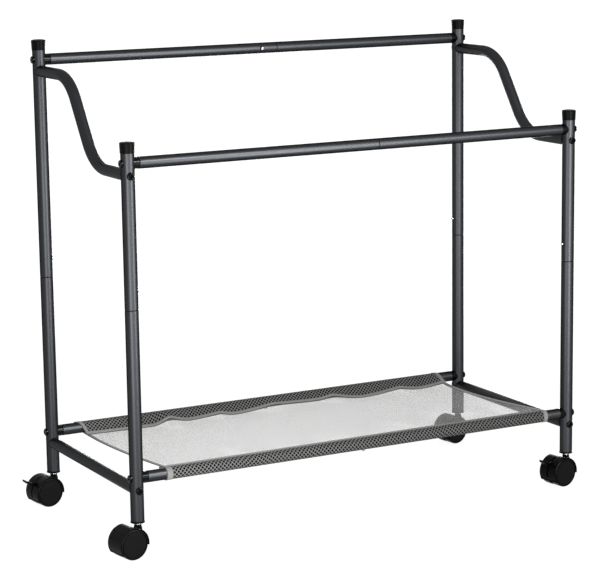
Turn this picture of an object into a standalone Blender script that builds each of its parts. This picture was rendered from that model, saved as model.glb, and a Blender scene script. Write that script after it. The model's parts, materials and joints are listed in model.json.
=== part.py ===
"""Rolling newspaper rack: bolted tube frame, mesh sling shelf and four twin-wheel casters.

Metres, +Z up. The rack stands on z = 0 with its long side along X and its low front rail at -Y.
"""

import math

import bmesh
import bpy
from mathutils import Vector

# Frame tubes
POST_OD = 0.022
RAIL_OD = 0.019
TUBE_WALL = 0.001
POST_SPACING_X = 0.828
POST_SPACING_Y = 0.353

# Heights above the foot of the posts
BOTTOM_RAIL_RISE = 0.070
POST_JOINT_RISE = 0.341
FRONT_RAIL_RISE = 0.571
REAR_RAIL_RISE = 0.709
SIDE_TUBE_DROP = 0.019

# Slip joints of the posts and rails
SPIGOT_LENGTH = 0.045
SWAGE_LENGTH = 0.004
RAIL_JOINT_X = 0.032
BUTTON_OFFSET = 0.031
BUTTON_RADIUS = 0.003
BUTTON_PROUD = 0.0035
BUTTON_FLANGE = 0.001
BUTTON_FLANGE_THICK = 0.001

# S-bend of the top side tubes
BEND_RADIUS = 0.084
BEND_SLOPE = 0.081

# Post caps
CAP_TOP_RISE = 0.034
CAP_HEIGHT = 0.018
CAP_DOME = 0.002
CAP_ROOF = 0.0025
CAP_LIP = 0.0005
CAP_FLARE = 0.0012

# Rail-end saddles
SADDLE_COLLAR = 0.006
SADDLE_PLUG = 0.020
SADDLE_BORE = 0.0028

# Sling shelf
CLOTH_THICK = 0.0008
RAIL_BARE_END = 0.048
SLEEVE_SHIFT = -0.005
HEM_SHIFT = 0.010
FRONT_SHIFT = 0.002
HEM_REACH = 0.0175
HEM_DROP = 0.0115
HEM_LIFT = 0.0065
HEM_WAVE_PITCH = 0.111
HEM_WAVE_PHASE = 0.022
FRONT_HEM_REACH = 0.022
FRONT_HEM_RISE = 0.006
SHEET_SAG = 0.003

# Casters
WHEEL_RADIUS = 0.025
AXLE_DROP = 0.0325
CASTER_TRAIL = 0.018
CASTER_YAW = math.radians(9)
DRUM_WIDTH = 0.0384
WEB_WIDTH = 0.007
HOOD_WALL = 0.0011
HOOD_FRONT_ANGLE = math.radians(-6)
HOOD_REAR_ANGLE = math.radians(210)
NECK_RADIUS = 0.006
STEM_RADIUS = 0.004
STEM_COLLAR_RADIUS = 0.0052
STEM_COLLAR = 0.0025
STEM_RISE = 0.034
AXLE_RADIUS = 0.003
SOCKET_FLANGE = 0.002
SOCKET_FLANGE_PROUD = 0.0007
SOCKET_LENGTH = 0.038
HUB_RADIUS = 0.007
RIM_THICK = 0.0045
WHEEL_RECESS = 0.007
WHEEL_FACE = 0.003

# Brake levers, measured from the axle in the plane of the wheels
BRAKE_PIVOT = (-0.013, 0.010)
BRAKE_TRAVEL = math.radians(20)
LEVER_THICK = 0.003
LEVER_REACH = 0.0273
LEVER_ANGLE = math.radians(156)
TAB_WIDTH = 0.012
TAB_LENGTH = 0.0105
TAB_THICK = 0.0022
TRUNNION_RADIUS = 0.0016
BRAKE_ARM = 0.011
BRAKE_ARM_ANGLE = math.radians(25)
BRAKE_BAR_RADIUS = 0.0017
BRAKE_BAR_WIDTH = 0.018

# Clearances
GAP = 0.0003
BUTTON_CLEARANCE = 0.0004
WHEEL_CLEARANCE = 0.0007
WHEEL_SIDE_GAP = 0.0005
SLEEVE_GAP = 0.0004

# Facets round the tubes, wheels and small pins
TUBE_SIDES = 16
WHEEL_SIDES = 24
PIN_SIDES = 10

# Derived sizes
FOOT_Z = WHEEL_RADIUS + AXLE_DROP
BOTTOM_RAIL_Z = FOOT_Z + BOTTOM_RAIL_RISE
POST_JOINT_Z = FOOT_Z + POST_JOINT_RISE
FRONT_RAIL_Z = FOOT_Z + FRONT_RAIL_RISE
REAR_RAIL_Z = FOOT_Z + REAR_RAIL_RISE
POST_R = POST_OD / 2
POST_BORE_R = POST_R - TUBE_WALL
RAIL_R = RAIL_OD / 2
RAIL_BORE_R = RAIL_R - TUBE_WALL
HALF_X = POST_SPACING_X / 2
HALF_Y = POST_SPACING_Y / 2
CLOTH_LENGTH = POST_SPACING_X - 2 * RAIL_BARE_END
CORNERS = (
    ("rear_left", -1, 1, REAR_RAIL_Z),
    ("rear_right", 1, 1, REAR_RAIL_Z),
    ("front_left", -1, -1, FRONT_RAIL_Z),
    ("front_right", 1, -1, FRONT_RAIL_Z),
)
RAILS = (
    ("rear_top", 1, REAR_RAIL_Z, (0, -1, 0)),
    ("front_top", -1, FRONT_RAIL_Z, (0, 1, 0)),
    ("rear_bottom", 1, BOTTOM_RAIL_Z, (0, 0, -1)),
    ("front_bottom", -1, BOTTOM_RAIL_Z, (0, 0, -1)),
)
BRAKED = ("rear_left", "front_right")

for old in list(bpy.data.objects):
    bpy.data.objects.remove(old)

parts = bpy.data.collections.new("newspaper_rack")
cutters = bpy.data.collections.new("cutters")
for collection in (parts, cutters):
    bpy.context.scene.collection.children.link(collection)

root = bpy.data.objects.new("rack_root", None)
parts.objects.link(root)


def material(name, colour, roughness, metallic):
    made = bpy.data.materials.new(name)
    made.use_nodes = True
    shader = made.node_tree.nodes["Principled BSDF"]
    shader.inputs["Base Color"].default_value = (*colour, 1)
    shader.inputs["Roughness"].default_value = roughness
    shader.inputs["Metallic"].default_value = metallic
    return made


TUBE_PAINT = material("charcoal_paint", (0.075, 0.078, 0.084), 0.38, 0.75)
BLACK_PLASTIC = material("black_plastic", (0.012, 0.012, 0.012), 0.5, 0.0)
WHEEL_PLASTIC = material("wheel_plastic", (0.015, 0.015, 0.016), 0.45, 0.0)
CHROME = material("chrome", (0.75, 0.76, 0.78), 0.15, 1.0)
MESH_CLOTH = material("mesh_cloth", (0.50, 0.50, 0.49), 0.85, 0.0)


def place(obj, group, paint=None, at=(0, 0, 0), turn=(0, 0, 0), parent=None):
    """Puts an object in its collection, under its parent, with its material."""
    for old in list(obj.users_collection):
        old.objects.unlink(obj)
    group.objects.link(obj)
    obj.parent = parent or root
    obj.location = at
    obj.rotation_euler = turn
    if paint:
        obj.data.materials.append(paint)
    if group is cutters:
        obj.hide_render = True
        obj.display_type = "WIRE"
    return obj


def turned(name, profile, sides, phase=0.0, closed=False):
    """A profile of (radius, height) points, outer side first and downwards, turned about Z."""
    mesh = bpy.data.meshes.new(name)
    points = [(r * math.cos(phase), r * math.sin(phase), z) for r, z in profile]
    edges = [(i, i + 1) for i in range(len(points) - 1)]
    if closed:
        edges.append((len(points) - 1, 0))
    mesh.from_pydata(points, edges, [])
    obj = bpy.data.objects.new(name, mesh)
    screw = obj.modifiers.new("turn", "SCREW")
    screw.angle = math.tau
    screw.steps = sides
    screw.render_steps = sides
    screw.use_merge_vertices = True
    screw.merge_threshold = 0.00001
    screw.use_smooth_shade = True
    return obj


def cylinder(name, radius, depth, sides, phase=0.0):
    """A plain solid cylinder about Z, centred on its origin."""
    half = depth / 2
    return turned(name, [(0, half), (radius, half), (radius, -half), (0, -half)], sides, phase)


def as_mesh(curve):
    """Replaces a curve object by the closed mesh that it shows."""
    bpy.context.scene.collection.objects.link(curve)
    graph = bpy.context.evaluated_depsgraph_get()
    mesh = bpy.data.meshes.new_from_object(curve.evaluated_get(graph))
    work = bmesh.new()
    work.from_mesh(mesh)
    bmesh.ops.remove_doubles(work, verts=work.verts, dist=0.000001)
    bmesh.ops.recalc_face_normals(work, faces=work.faces)
    work.to_mesh(mesh)
    work.free()
    name = curve.name
    bpy.data.objects.remove(curve)
    mesh.name = name
    return bpy.data.objects.new(name, mesh)


def spline_curve(name, points, dimensions, cyclic):
    data = bpy.data.curves.new(name, "CURVE")
    data.dimensions = dimensions
    spline = data.splines.new("POLY")
    spline.points.add(len(points) - 1)
    for point, co in zip(spline.points, points):
        point.co = (*co, 1)
    spline.use_cyclic_u = cyclic
    return bpy.data.objects.new(name, data)


def plate(name, outline, thick):
    """A flat outline in X and Z, given its thickness along Y."""
    curve = spline_curve(name, [(x, z, 0) for x, z in outline], "2D", True)
    curve.data.fill_mode = "BOTH"
    curve.data.extrude = thick / 2
    obj = as_mesh(curve)
    for vertex in obj.data.vertices:
        x, z, y = vertex.co
        vertex.co = (x, -y, z)
    return obj


def pipe(name, points, radius, sides):
    """A round bar along a path, with flat ends."""
    curve = spline_curve(name, points, "3D", False)
    curve.data.bevel_depth = radius
    curve.data.bevel_resolution = (sides - 4) // 2
    curve.data.use_fill_caps = True
    obj = as_mesh(curve)
    obj.data.shade_smooth()
    return obj


def combine(obj, other, operation):
    step = obj.modifiers.new(other.name, "BOOLEAN")
    step.operation = operation
    step.solver = "EXACT"
    step.object = other
    return obj


def cut(obj, cutter):
    return combine(obj, cutter, "DIFFERENCE")


def fuse(obj, other):
    return combine(obj, other, "UNION")


def arc(radius, start, end, steps):
    turns = [start + (end - start) * i / steps for i in range(steps + 1)]
    return [(radius * math.cos(a), radius * math.sin(a)) for a in turns]


def tube_profile(radius, bore, low, high):
    return [(radius, high), (radius, low), (bore, low), (bore, high)]


def spigot_profile(radius, bore, low, joint, high):
    """A tube up to its joint, swaged down above it to slide into the bore of its twin."""
    neck = bore - GAP
    inside = neck - (radius - bore)
    return [
        (neck, high),
        (neck, joint),
        (radius, joint),
        (radius, low),
        (bore, low),
        (bore, joint - 2 * SWAGE_LENGTH),
        (inside, joint - SWAGE_LENGTH),
        (inside, high),
    ]


# Turns that lay a piece turned about Z along another axis
ALONG_X = (0, math.pi / 2, 0)
TOWARDS = {
    (1, 0, 0): (0, math.pi / 2, 0),
    (-1, 0, 0): (0, -math.pi / 2, 0),
    (0, -1, 0): (math.pi / 2, 0, 0),
    (0, 1, 0): (-math.pi / 2, 0, 0),
    (0, 0, -1): (math.pi, 0, 0),
}

joints = {}


def snap_button(name, centre, outward, radius, bore):
    """A spring button in a slip joint, and the round hole that it comes out of."""
    flange_r = BUTTON_RADIUS + BUTTON_FLANGE
    inside = bore - GAP - (radius - bore)
    seat = math.sqrt((inside - GAP) ** 2 - flange_r**2)
    tip = radius + BUTTON_PROUD
    profile = [
        (0, tip),
        (BUTTON_RADIUS * 0.62, tip - BUTTON_RADIUS * 0.2),
        (BUTTON_RADIUS, tip - BUTTON_RADIUS * 0.7),
        (BUTTON_RADIUS, seat),
        (flange_r, seat),
        (flange_r, seat - BUTTON_FLANGE_THICK),
        (0, seat - BUTTON_FLANGE_THICK),
    ]
    button = turned("snap_button_" + name, profile, PIN_SIDES)
    place(button, parts, CHROME, centre, TOWARDS[outward])
    hole = turned(
        "button_hole_" + name,
        [
            (0, 2 * radius),
            (BUTTON_RADIUS + BUTTON_CLEARANCE, 2 * radius),
            (BUTTON_RADIUS + BUTTON_CLEARANCE, 0),
            (0, 0),
        ],
        PIN_SIDES,
    )
    place(hole, cutters, None, centre, TOWARDS[outward])
    joints[button.name] = (button, Vector(outward))
    return hole


# Posts, caps and caster sockets
post_clear = {}
for corner, side_x, side_y, rail_z in CORNERS:
    at = (side_x * HALF_X, side_y * HALF_Y, 0)
    cap_top = rail_z + CAP_TOP_RISE
    ceiling = cap_top - CAP_DOME - CAP_ROOF
    post_top = ceiling - GAP
    lower = turned(
        "post_" + corner + "_lower",
        spigot_profile(POST_R, POST_BORE_R, FOOT_Z, POST_JOINT_Z, POST_JOINT_Z + SPIGOT_LENGTH),
        TUBE_SIDES,
        closed=True,
    )
    upper = turned(
        "post_" + corner + "_upper",
        tube_profile(POST_R, POST_BORE_R, POST_JOINT_Z + GAP, post_top),
        TUBE_SIDES,
        closed=True,
    )
    centre = (at[0], at[1], POST_JOINT_Z + BUTTON_OFFSET)
    hole = snap_button("post_" + corner, centre, (-side_x, 0, 0), POST_R, POST_BORE_R)
    for post in (lower, upper):
        place(post, parts, TUBE_PAINT, at)
        cut(post, hole)

    cap_bore = POST_R + GAP
    lip = cap_bore + CAP_LIP
    crown = lip + CAP_FLARE
    cap = turned(
        "cap_" + corner,
        [
            (0, cap_top),
            (crown * 0.6, cap_top - CAP_DOME * 0.3),
            (crown, cap_top - CAP_DOME),
            (lip, cap_top - CAP_HEIGHT),
            (cap_bore, cap_top - CAP_HEIGHT),
            (cap_bore, ceiling),
            (0, ceiling),
        ],
        TUBE_SIDES,
    )
    place(cap, parts, BLACK_PLASTIC, at)

    flange_top = FOOT_Z - GAP
    flange_r = POST_R + SOCKET_FLANGE_PROUD
    plug_r = POST_BORE_R - GAP
    stem_bore = STEM_RADIUS + GAP
    socket_top = FOOT_Z + SOCKET_LENGTH
    socket = turned(
        "caster_socket_" + corner,
        [
            (plug_r, socket_top),
            (plug_r, flange_top),
            (flange_r, flange_top),
            (flange_r, flange_top - SOCKET_FLANGE),
            (stem_bore, flange_top - SOCKET_FLANGE),
            (stem_bore, socket_top),
        ],
        TUBE_SIDES,
        closed=True,
    )
    place(socket, parts, BLACK_PLASTIC, at)

    clear = cylinder("post_clear_" + corner, POST_R + GAP, 2 * REAR_RAIL_Z, TUBE_SIDES)
    post_clear[side_x, side_y] = place(clear, cutters, None, (at[0], at[1], REAR_RAIL_Z / 2))

# Rails in two lengths, with a saddle at each end
button_holes = {}
rail_end = HALF_X - POST_R - GAP - SADDLE_COLLAR - GAP
for rail, side_y, rail_z, facing in RAILS:
    at = (0, side_y * HALF_Y, rail_z)
    left = turned(
        "rail_" + rail + "_left",
        tube_profile(RAIL_R, RAIL_BORE_R, -rail_end, RAIL_JOINT_X - GAP),
        TUBE_SIDES,
        closed=True,
    )
    right = turned(
        "rail_" + rail + "_right",
        spigot_profile(RAIL_R, RAIL_BORE_R, -rail_end, -RAIL_JOINT_X, SPIGOT_LENGTH - RAIL_JOINT_X),
        TUBE_SIDES,
        closed=True,
    )
    centre = (RAIL_JOINT_X - BUTTON_OFFSET, at[1], at[2])
    hole = snap_button("rail_" + rail, centre, facing, RAIL_R, RAIL_BORE_R)
    button_holes[rail] = hole
    place(left, parts, TUBE_PAINT, at, ALONG_X)
    place(right, parts, TUBE_PAINT, at, (0, -math.pi / 2, 0))
    cut(left, hole)
    cut(right, hole)
    for end, side_x in (("left", -1), ("right", 1)):
        saddle = turned(
            "saddle_" + rail + "_" + end,
            [
                (RAIL_R, HALF_X),
                (RAIL_R, rail_end + GAP),
                (RAIL_BORE_R - GAP, rail_end + GAP),
                (RAIL_BORE_R - GAP, rail_end - SADDLE_PLUG),
                (SADDLE_BORE, rail_end - SADDLE_PLUG),
                (SADDLE_BORE, HALF_X),
            ],
            TUBE_SIDES,
            closed=True,
        )
        place(saddle, parts, BLACK_PLASTIC, at, (0, side_x * math.pi / 2, 0))
        cut(saddle, post_clear[side_x, side_y])


# Side tubes, coped to the posts at both ends
def s_bend():
    """Level at both rails, with two equal bends and a straight slope between them."""
    fall = REAR_RAIL_RISE - FRONT_RAIL_RISE
    level = REAR_RAIL_Z - SIDE_TUBE_DROP
    turn = math.atan2(2 * BEND_RADIUS, BEND_SLOPE)
    turn += math.asin((fall - 2 * BEND_RADIUS) / math.hypot(2 * BEND_RADIUS, BEND_SLOPE))
    run = 2 * BEND_RADIUS * math.sin(turn) + BEND_SLOPE * math.cos(turn)
    steps = 6
    points = [(0, HALF_Y, level)]
    for i in range(steps + 1):
        a = turn * i / steps
        points.append(
            (0, run / 2 - BEND_RADIUS * math.sin(a), level - BEND_RADIUS * (1 - math.cos(a)))
        )
    mirror = [(0, -y, 2 * level - fall - z) for x, y, z in reversed(points)]
    return points + mirror


straight = [
    (0, HALF_Y, BOTTOM_RAIL_Z - SIDE_TUBE_DROP),
    (0, -HALF_Y, BOTTOM_RAIL_Z - SIDE_TUBE_DROP),
]
for tube, path in (("top_side_tube", s_bend()), ("bottom_side_tube", straight)):
    for end, side_x in (("left", -1), ("right", 1)):
        at = (side_x * HALF_X, 0, 0)
        bar = pipe(tube + "_" + end, path, RAIL_R, TUBE_SIDES)
        first = Vector(path[0]) + Vector((0, POST_R, 0))
        last = Vector(path[-1]) - Vector((0, POST_R, 0))
        bore = pipe("bore_" + tube + "_" + end, [first, *path[1:-1], last], RAIL_BORE_R, 8)
        place(bar, parts, TUBE_PAINT, at)
        cut(bar, place(bore, cutters, None, at))
        cut(bar, post_clear[side_x, 1])
        cut(bar, post_clear[side_x, -1])


# Sling shelf: one strip of cloth that runs under the rear rail and over the front one
def rear_hem(x):
    """The hem is drawn up to the rail at even steps and hangs in shallow scallops between."""
    wave = 0.5 + 0.5 * math.cos(math.tau * (x - HEM_WAVE_PHASE) / HEM_WAVE_PITCH)
    lift = HEM_LIFT * wave**1.5
    return (HEM_REACH - 0.35 * lift, -HEM_DROP + lift)


def sleeve(hem):
    """The strip round one rail, from its hem over the top and under, as (inward, up) points."""
    steps = 6
    reach = RAIL_R + SLEEVE_GAP + CLOTH_THICK / 2
    start = math.atan2(hem[1], hem[0]) + math.acos(reach / math.hypot(*hem))
    end = math.radians(270)
    flat = reach / math.cos((end - start) / steps / 2)
    return [hem] + arc(flat, start, end, steps)


def shelf_strip():
    """Rows of points across the strip, one for each step along the rails."""
    columns = 36
    below = CLOTH_THICK + SLEEVE_GAP
    front = [(inward, -up) for inward, up in sleeve((FRONT_HEM_REACH, -FRONT_HEM_RISE))]
    rows = []
    for i in range(columns + 1):
        u = i / columns - 0.5
        x = u * CLOTH_LENGTH
        hem = rear_hem(x)
        rear = sleeve(hem)
        row = []
        for n, (inward, up) in enumerate(rear):
            share = abs(2 * n / (len(rear) - 1) - 1)
            shift = SLEEVE_SHIFT + (HEM_SHIFT - SLEEVE_SHIFT) * share
            row.append((x + shift, HALF_Y - inward, BOTTOM_RAIL_Z + up))
        sheet_from = (HALF_Y - hem[0], min(hem[1] - below, rear[-1][1] - below / 2))
        sheet_to = (front[-1][0] - HALF_Y, front[-1][1])
        spans = 5
        for n in range(spans):
            t = n / spans
            shift = HEM_SHIFT + (FRONT_SHIFT - HEM_SHIFT) * t
            y = sheet_from[0] + (sheet_to[0] - sheet_from[0]) * t
            z = sheet_from[1] + (sheet_to[1] - sheet_from[1]) * t - 4 * SHEET_SAG * t * (1 - t)
            row.append((x + shift, y, BOTTOM_RAIL_Z + z))
        for inward, up in reversed(front):
            row.append((x + FRONT_SHIFT, inward - HALF_Y, BOTTOM_RAIL_Z + up))
        rows.append(row)
    return rows


rows = shelf_strip()
across = len(rows[0])
cloth = bpy.data.meshes.new("mesh_shelf")
faces = []
for i in range(len(rows) - 1):
    for j in range(across - 1):
        a = i * across + j
        faces.append((a, a + 1, a + across + 1, a + across))
cloth.from_pydata([point for row in rows for point in row], [], faces)
cloth.shade_smooth()
shelf = place(bpy.data.objects.new("mesh_shelf", cloth), parts, MESH_CLOTH)
thick = shelf.modifiers.new("thickness", "SOLIDIFY")
thick.thickness = CLOTH_THICK
thick.offset = 0
for rail in ("rear_bottom", "front_bottom"):
    slot = cylinder("cloth_hole_" + rail, BUTTON_RADIUS + 3 * BUTTON_CLEARANCE, RAIL_OD, PIN_SIDES)
    y = HALF_Y if rail == "rear_bottom" else -HALF_Y
    place(slot, cutters, None, (RAIL_JOINT_X - BUTTON_OFFSET, y, BOTTOM_RAIL_Z - RAIL_OD))
    cut(shelf, slot)

# Casters
HALF_DRUM = DRUM_WIDTH / 2
HALF_WEB = WEB_WIDTH / 2
HALF_STEP = math.pi / WHEEL_SIDES
WELL_R = (WHEEL_RADIUS / math.cos(HALF_STEP) + WHEEL_CLEARANCE) / math.cos(HALF_STEP)
HOOD_R = WELL_R + HOOD_WALL
WHEEL_IN = HALF_WEB + WHEEL_SIDE_GAP
WHEEL_OUT = HALF_DRUM - WHEEL_SIDE_GAP
STEM_TOP = AXLE_DROP + STEM_RISE
COLLAR_TOP = AXLE_DROP - GAP - SOCKET_FLANGE - GAP
NECK_TOP = COLLAR_TOP - STEM_COLLAR
ON_AXLE = (math.pi / 2, 0, 0)


def wheel_profile():
    """From the outer face over the tread to the open inner side and the blind bore."""
    grow = 1 / math.cos(HALF_STEP)
    tread = WHEEL_RADIUS * grow
    rim = (WHEEL_RADIUS - RIM_THICK) * grow
    hub = HUB_RADIUS
    bore = AXLE_RADIUS + GAP
    return [
        (0, WHEEL_OUT),
        (tread * 0.88, WHEEL_OUT - 0.0004),
        (tread, WHEEL_OUT - 0.0024),
        (tread, WHEEL_IN),
        (rim, WHEEL_IN),
        (rim, WHEEL_IN + WHEEL_RECESS),
        (hub, WHEEL_IN + WHEEL_RECESS),
        (hub, WHEEL_IN),
        (bore, WHEEL_IN),
        (bore, WHEEL_OUT - WHEEL_FACE),
        (0, WHEEL_OUT - WHEEL_FACE),
    ]


def lever_point(along, across):
    """A point along the brake lever from its pivot, and square to it."""
    c, s = math.cos(LEVER_ANGLE), math.sin(LEVER_ANGLE)
    return (BRAKE_PIVOT[0] + along * c + across * s, BRAKE_PIVOT[1] + along * s - across * c)


def arm_point(along, across, swing=0.0):
    """A point along the brake arm from the pivot, swung by part of the lever's travel."""
    c, s = math.cos(BRAKE_ARM_ANGLE + swing), math.sin(BRAKE_ARM_ANGLE + swing)
    return (BRAKE_PIVOT[0] + along * c - across * s, BRAKE_PIVOT[1] + along * s + across * c)


def brake_lever(corner, caster):
    """A pedal lever with its trunnions and the bar that presses on both rims."""
    half = 1.9 * TRUNNION_RADIUS
    tab_start = LEVER_REACH - TAB_LENGTH
    outline = [
        arm_point(BRAKE_ARM, BRAKE_BAR_RADIUS * 0.8),
        arm_point(0, half),
        lever_point(tab_start + TAB_THICK, TAB_THICK / 2),
        lever_point(tab_start + TAB_THICK, -TAB_THICK / 2),
        lever_point(0, -half),
        arm_point(0, -half),
        arm_point(BRAKE_ARM, -BRAKE_BAR_RADIUS * 0.8),
    ]
    lever = plate("brake_lever_" + corner, outline, LEVER_THICK)
    place(lever, parts, BLACK_PLASTIC, parent=caster)
    tab_lift = 0.6 * TAB_THICK
    tab = plate(
        "brake_tab_" + corner,
        [
            lever_point(tab_start, TAB_THICK / 2),
            lever_point(LEVER_REACH - 0.4 * TAB_LENGTH, TAB_THICK / 2),
            lever_point(LEVER_REACH, TAB_THICK / 2 + tab_lift),
            lever_point(LEVER_REACH, tab_lift),
            lever_point(LEVER_REACH - 0.4 * TAB_LENGTH, -TAB_THICK / 2),
            lever_point(tab_start, -TAB_THICK / 2),
        ],
        TAB_WIDTH,
    )
    pivot = (BRAKE_PIVOT[0], 0, BRAKE_PIVOT[1])
    trunnion = cylinder("trunnion_" + corner, TRUNNION_RADIUS, WEB_WIDTH - 2 * GAP, PIN_SIDES)
    bar = cylinder("brake_bar_" + corner, BRAKE_BAR_RADIUS, BRAKE_BAR_WIDTH, PIN_SIDES)
    bar_at = arm_point(BRAKE_ARM, 0)
    fuse(lever, place(tab, cutters, parent=caster))
    fuse(lever, place(trunnion, cutters, None, pivot, ON_AXLE, caster))
    fuse(lever, place(bar, cutters, None, (bar_at[0], 0, bar_at[1]), ON_AXLE, caster))
    hinge = bpy.data.objects.new("brake_pivot_" + corner, None)
    place(hinge, parts, None, pivot, parent=caster)
    joints[lever.name] = (hinge, Vector((0, 1, 0)))


def brake_pocket(hood, corner, caster):
    """The slot in the hood for the lever, its trunnion holes and the window for the bar."""
    room = BRAKE_BAR_RADIUS + 2 * GAP
    high = arm_point(BRAKE_ARM + room, room, BRAKE_TRAVEL)
    low = arm_point(BRAKE_ARM + room, -room)
    below = lever_point(LEVER_REACH - TAB_LENGTH, -3 * TAB_THICK)
    above = lever_point(LEVER_REACH - TAB_LENGTH, 1.2 * TAB_THICK)
    hub = 1.9 * TRUNNION_RADIUS + 2 * GAP
    floor = BRAKE_PIVOT[1] - hub
    outline = [
        (low[0], floor),
        (low[0], low[1]),
        (high[0] + room, high[1]),
        (high[0] - room, high[1]),
        (BRAKE_PIVOT[0] - hub, BRAKE_PIVOT[1] + 2 * hub),
        (above[0], above[1]),
        (above[0], below[1] - TAB_THICK),
        (BRAKE_PIVOT[0] - hub, floor - hub),
    ]
    slot = plate("lever_slot_" + corner, outline, LEVER_THICK + 2 * GAP)
    cut(hood, place(slot, cutters, parent=caster))
    window = plate(
        "bar_window_" + corner,
        [
            arm_point(BRAKE_ARM - room, -room),
            arm_point(BRAKE_ARM + room, -room),
            arm_point(BRAKE_ARM + room, room, BRAKE_TRAVEL),
            arm_point(BRAKE_ARM - room, room, BRAKE_TRAVEL),
        ],
        WEB_WIDTH + 2 * GAP,
    )
    cut(hood, place(window, cutters, parent=caster))
    hole = cylinder("trunnion_hole_" + corner, TRUNNION_RADIUS + GAP, 2 * WEB_WIDTH, PIN_SIDES)
    pivot = (BRAKE_PIVOT[0], 0, BRAKE_PIVOT[1])
    cut(hood, place(hole, cutters, None, pivot, ON_AXLE, caster))


for corner, side_x, side_y, rail_z in CORNERS:
    swivel = bpy.data.objects.new("swivel_" + corner, None)
    place(
        swivel,
        parts,
        None,
        (side_x * HALF_X, side_y * HALF_Y, WHEEL_RADIUS),
        (0, 0, CASTER_YAW),
    )
    caster = bpy.data.objects.new("axle_" + corner, None)
    place(caster, parts, None, (-CASTER_TRAIL, 0, 0), parent=swivel)

    steps = 18
    outer = HOOD_R / math.cos((HOOD_REAR_ANGLE - HOOD_FRONT_ANGLE) / steps / 2)
    hood = plate(
        "caster_hood_" + corner,
        arc(outer, HOOD_FRONT_ANGLE, HOOD_REAR_ANGLE, steps),
        DRUM_WIDTH,
    )
    place(hood, parts, BLACK_PLASTIC, parent=caster)
    neck = turned(
        "neck_" + corner,
        [(0, NECK_TOP), (NECK_RADIUS, NECK_TOP), (NECK_RADIUS, 0), (0, 0)],
        TUBE_SIDES,
    )
    fuse(hood, place(neck, cutters, None, (CASTER_TRAIL, 0, 0), parent=caster))
    for side in (-1, 1):
        well = cylinder(
            "wheel_well_%s_%d" % (corner, side + 1),
            WELL_R,
            DRUM_WIDTH,
            WHEEL_SIDES,
            HALF_STEP,
        )
        place(well, cutters, None, (0, side * (HALF_WEB + HALF_DRUM), 0), ON_AXLE, caster)
        cut(hood, well)
    axle = cylinder(
        "stub_axle_" + corner,
        AXLE_RADIUS,
        2 * (WHEEL_OUT - WHEEL_FACE - GAP),
        PIN_SIDES,
    )
    fuse(hood, place(axle, cutters, None, turn=ON_AXLE, parent=caster))
    stem = turned(
        "stem_" + corner,
        [
            (0, STEM_TOP),
            (STEM_RADIUS, STEM_TOP),
            (STEM_RADIUS, COLLAR_TOP),
            (STEM_COLLAR_RADIUS, COLLAR_TOP),
            (STEM_COLLAR_RADIUS, NECK_TOP - NECK_RADIUS / 2),
            (0, NECK_TOP - NECK_RADIUS / 2),
        ],
        TUBE_SIDES,
    )
    fuse(hood, place(stem, cutters, None, (CASTER_TRAIL, 0, 0), parent=caster))
    joints[hood.name] = (swivel, Vector((0, 0, 1)))
    if corner in BRAKED:
        brake_pocket(hood, corner, caster)
        brake_lever(corner, caster)
    for number, side in ((1, -1), (2, 1)):
        wheel = turned("wheel_%s_%d" % (corner, number), wheel_profile(), WHEEL_SIDES, HALF_STEP)
        place(wheel, parts, WHEEL_PLASTIC, turn=(-side * math.pi / 2, 0, 0), parent=caster)
        joints[wheel.name] = (caster, Vector((0, 1, 0)))

# The origin is under the middle of the whole rack
bpy.context.view_layer.update()
graph = bpy.context.evaluated_depsgraph_get()
corners = []
for obj in parts.objects:
    if obj.type == "MESH":
        shown = obj.evaluated_get(graph)
        corners += [shown.matrix_world @ vertex.co for vertex in shown.data.vertices]
low = Vector([min(c[i] for c in corners) for i in range(3)])
high = Vector([max(c[i] for c in corners) for i in range(3)])
root.location = (-(low.x + high.x) / 2, -(low.y + high.y) / 2, -low.z)
bpy.context.view_layer.update()

print("size", [round(v, 5) for v in high - low], "moved", [round(v, 6) for v in root.location])
for name, (holder, axis) in joints.items():
    world = holder.matrix_world
    turn = axis if name.startswith("snap") else world.to_3x3() @ axis
    print("joint", name, [round(v, 6) for v in world.translation], [round(v, 6) for v in turn])
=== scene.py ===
import json
import math

import bmesh
import bpy
from mathutils import Matrix, Vector


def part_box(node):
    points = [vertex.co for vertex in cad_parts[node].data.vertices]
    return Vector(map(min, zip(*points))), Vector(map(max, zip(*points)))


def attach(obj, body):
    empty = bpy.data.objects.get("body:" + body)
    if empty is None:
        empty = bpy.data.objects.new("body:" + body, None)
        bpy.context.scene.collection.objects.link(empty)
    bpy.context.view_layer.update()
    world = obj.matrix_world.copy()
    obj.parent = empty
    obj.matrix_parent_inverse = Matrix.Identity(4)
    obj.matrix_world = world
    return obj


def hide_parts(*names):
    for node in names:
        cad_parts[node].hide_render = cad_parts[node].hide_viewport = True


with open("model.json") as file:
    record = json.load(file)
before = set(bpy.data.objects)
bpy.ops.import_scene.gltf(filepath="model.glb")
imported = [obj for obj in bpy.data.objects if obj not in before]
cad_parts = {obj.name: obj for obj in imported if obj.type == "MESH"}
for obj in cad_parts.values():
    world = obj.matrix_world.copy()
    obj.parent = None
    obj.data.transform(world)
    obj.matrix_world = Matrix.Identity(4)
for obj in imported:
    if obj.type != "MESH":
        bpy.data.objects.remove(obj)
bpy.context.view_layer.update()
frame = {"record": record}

# Sizes of the rack, in metres
POST_R = 0.011
RAIL_R = 0.0095
WALL = 0.001
TUBE_END_ROUND = 0.0009
EDGE_ROUND, SMALL_ROUND, FINE_ROUND = 0.0005, 0.0004, 0.0003
BORE_SHARE, BORE_SPAN = 0.4, 0.1
HAIRLINE = 0.00001
SEAM_GAP = 0.0003
COLLAR = 0.006
PLUG = 0.02
GASKET = 0.0024
GASKET_WALL = 0.0032
FIT = 0.0002
BUTTON_R = 0.003
BUTTON_PROUD = 0.0035
BUTTON_HOLE_R = 0.0041
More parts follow.
